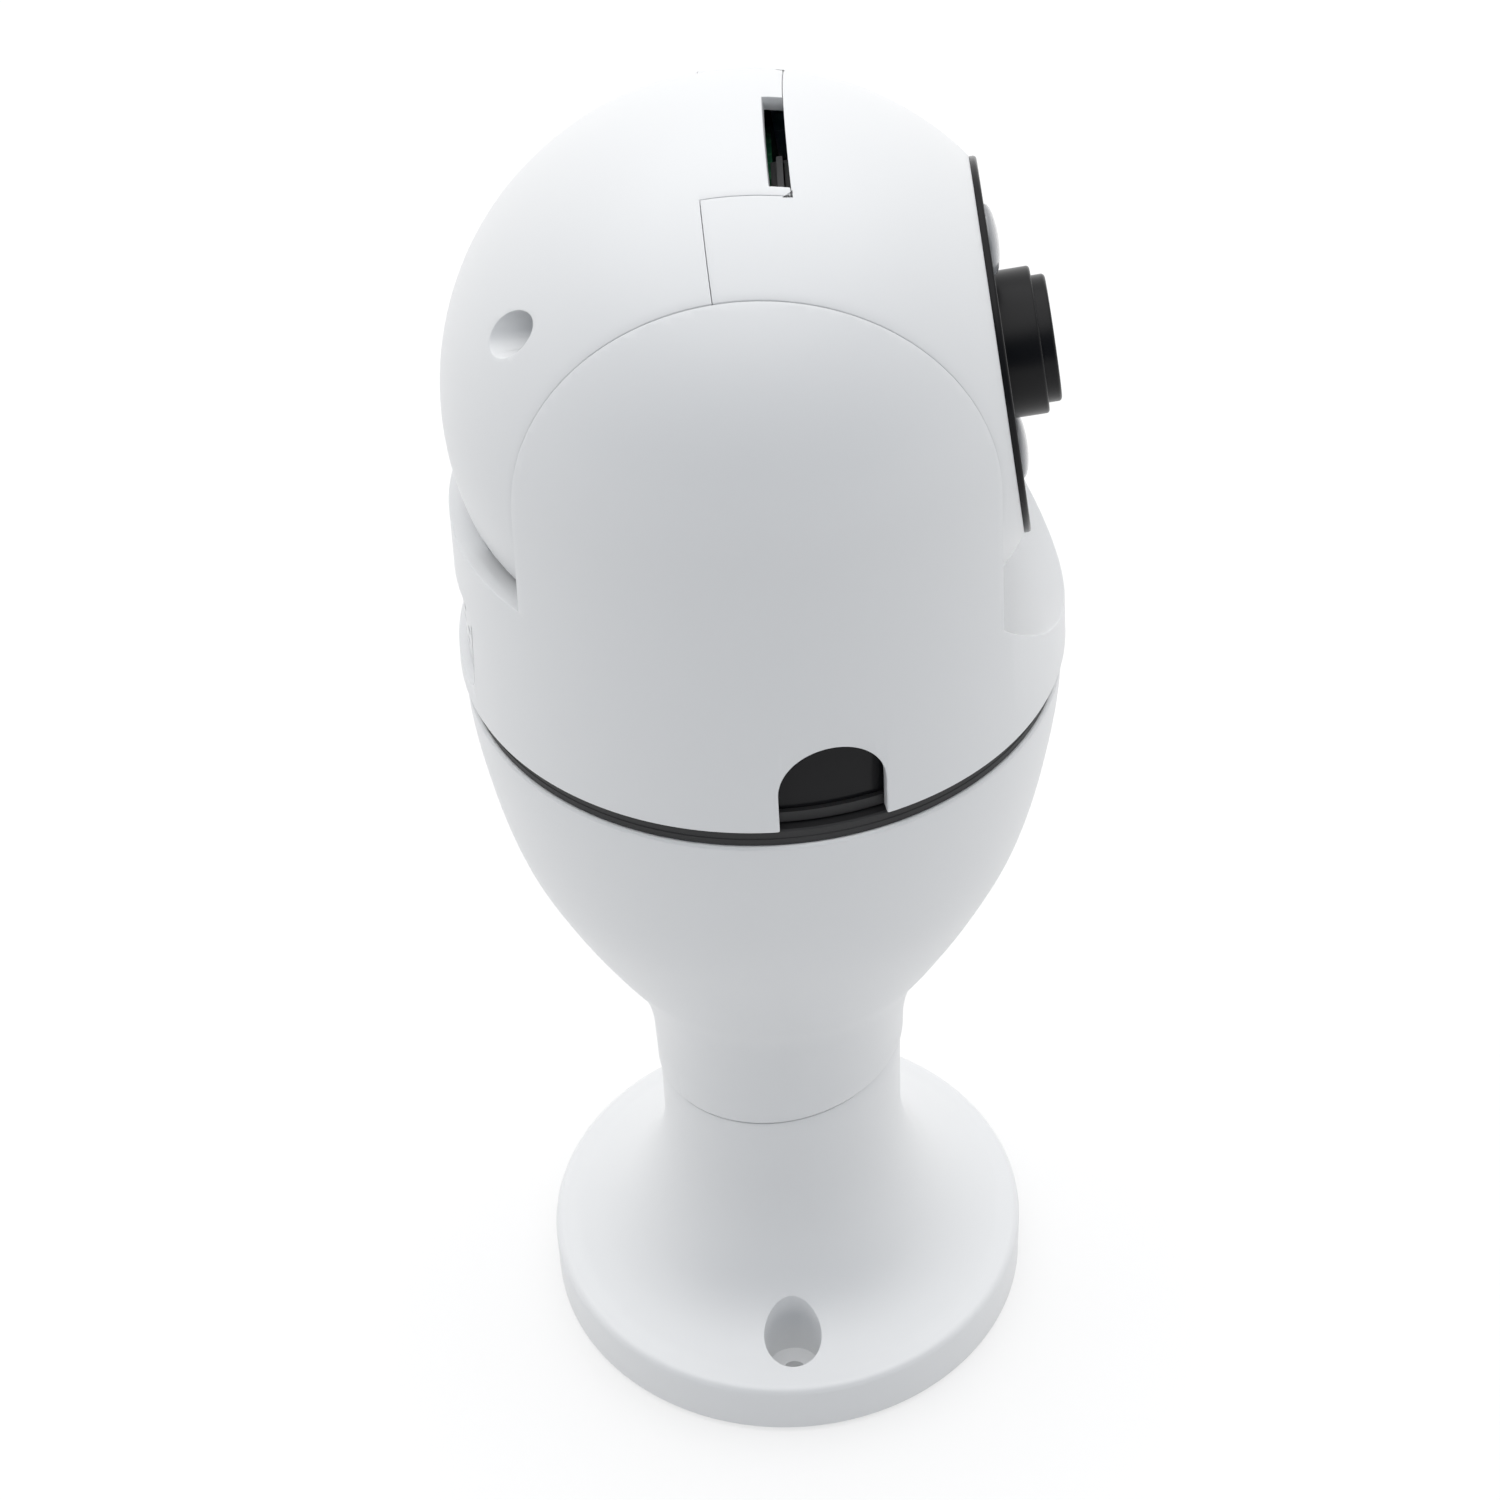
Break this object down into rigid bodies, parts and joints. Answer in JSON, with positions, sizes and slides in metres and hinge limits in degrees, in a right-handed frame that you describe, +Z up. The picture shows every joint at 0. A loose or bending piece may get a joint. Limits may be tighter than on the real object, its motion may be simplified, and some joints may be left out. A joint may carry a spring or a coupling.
{
  "type": "security camera",
  "caption": "Desk security camera: flared foot, bowl-shaped stand and a turning yoke whose cheeks carry a tilting ball head with a short lens barrel.",
  "frame": {"origin": "centre of the foot's underside, on the surface the camera stands on", "axes": "+Z up along the pan axis; the lens faces -Y at rest and points 8 degrees up; the tilt axis runs along X"},
  "size_m": [0.1, 0.1, 0.2555],
  "materials": {
    "white_casing": "satin moulded",
    "black_gloss": "polished",
    "black_plastic": "fine moulded",
    "lens_black": "satin",
    "grey_window": "tinted",
    "lens_glass": "coated",
    "rubber": "matte",
    "zinc_steel": "plated",
    "motor_can": "plated",
    "screw_steel": "plated",
    "gear_plastic": "natural",
    "circuit_board": "lacquered",
    "heat_sink": "extruded",
    "socket_metal": "plated",
    "chip_black": "moulded",
    "card_black": "satin",
    "filter_glass": "coated",
    "lamp_clear": "clear",
    "cone_paper": "matte",
    "button_grey": "satin"
  },
  "bodies": {
    "stand": {"foot_shell": "white_casing", "foot_plate": "black_plastic", "foot_pad": "rubber", "foot_weight": "zinc_steel", "foot_screws": "screw_steel", "stand_shell": "white_casing", "neck_screws": "screw_steel", "pan_deck": "black_plastic", "gap_ring": "black_plastic", "thrust_washer": "gear_plastic", "stand_screws": "screw_steel", "pan_motor": "motor_can", "pan_motor_screws": "screw_steel", "main_board": "circuit_board", "processor": "heat_sink", "port_panel": "black_plastic", "network_socket": "socket_metal", "power_inlet": "chip_black", "reset_switch": "chip_black"},
    "reset_button": {"reset_button": "button_grey"},
    "pan_pinion": {"pan_pinion": "gear_plastic"},
    "yoke": {"yoke_shell": "white_casing", "yoke_floor": "black_plastic", "turntable": "black_plastic", "pan_gear": "gear_plastic", "spindle_nut": "zinc_steel", "yoke_screws": "screw_steel", "left_cheek_cover": "black_plastic", "right_cheek_cover": "black_plastic", "bushes": "gear_plastic", "tilt_motor": "motor_can", "tilt_motor_screws": "screw_steel", "speaker": "cone_paper", "speaker_grille": "white_casing", "side_window": "black_gloss"},
    "tilt_pinion": {"tilt_pinion": "gear_plastic"},
    "head": {"head_rear_shell": "white_casing", "head_front_shell": "white_casing", "rear_liner": "black_plastic", "head_screws": "screw_steel", "left_trunnion": "black_plastic", "right_trunnion": "black_plastic", "trunnion_clip": "zinc_steel", "tilt_gear": "gear_plastic", "face_plate": "black_gloss", "lamp_windows": "grey_window", "lens_housing": "lens_black", "lens_barrel": "lens_black", "front_lens": "lens_glass", "lens_holder": "black_plastic", "image_sensor": "chip_black", "sensor_board": "circuit_board", "sensor_screws": "screw_steel", "lamp_board": "circuit_board", "infrared_lamps": "lamp_clear", "microphone": "zinc_steel", "head_board": "circuit_board", "card_socket": "black_plastic"},
    "filter_slide": {"filter_slide": "filter_glass"},
    "memory_card": {"memory_card": "card_black"}
  },
  "joints": [
    {"name": "pan", "type": "hinge", "parent": "stand", "child": "yoke", "pos_m": [0, 0, 0.157], "axis": [0, 0, 1], "range_deg": [-177.5, 177.5]},
    {"name": "pan_pinion_spin", "type": "hinge", "parent": "stand", "child": "pan_pinion", "pos_m": [0, -0.025, 0.143], "axis": [0, 0, 1], "range_deg": [-712, 712]},
    {"name": "tilt", "type": "hinge", "parent": "yoke", "child": "head", "pos_m": [0, 0, 0.2075], "axis": [-1, 0, 0], "range_deg": [-35, 82]},
    {"name": "tilt_pinion_spin", "type": "hinge", "parent": "yoke", "child": "tilt_pinion", "pos_m": [0.0352, 0, 0.1875], "axis": [-1, 0, 0], "range_deg": [-330, 142]},
    {"name": "reset_press", "type": "slide", "parent": "stand", "child": "reset_button", "axis": [-1, 0, 0], "range_m": [0, 0.0008], "stiffness_N_per_m": 300, "springref_m": -0.0005},
    {"name": "filter_shift", "type": "slide", "parent": "head", "child": "filter_slide", "axis": [-1, 0, 0], "range_m": [0, 0.01]},
    {"name": "card_pull", "type": "slide", "parent": "head", "child": "memory_card", "axis": [0, 0.1392, 0.9903], "range_m": [0, 0.016]}
  ],
  "couplings": [
    {"joint": "pan_pinion_spin", "follows": "pan", "ratio": -4},
    {"joint": "tilt_pinion_spin", "follows": "tilt", "ratio": -4}
  ]
}
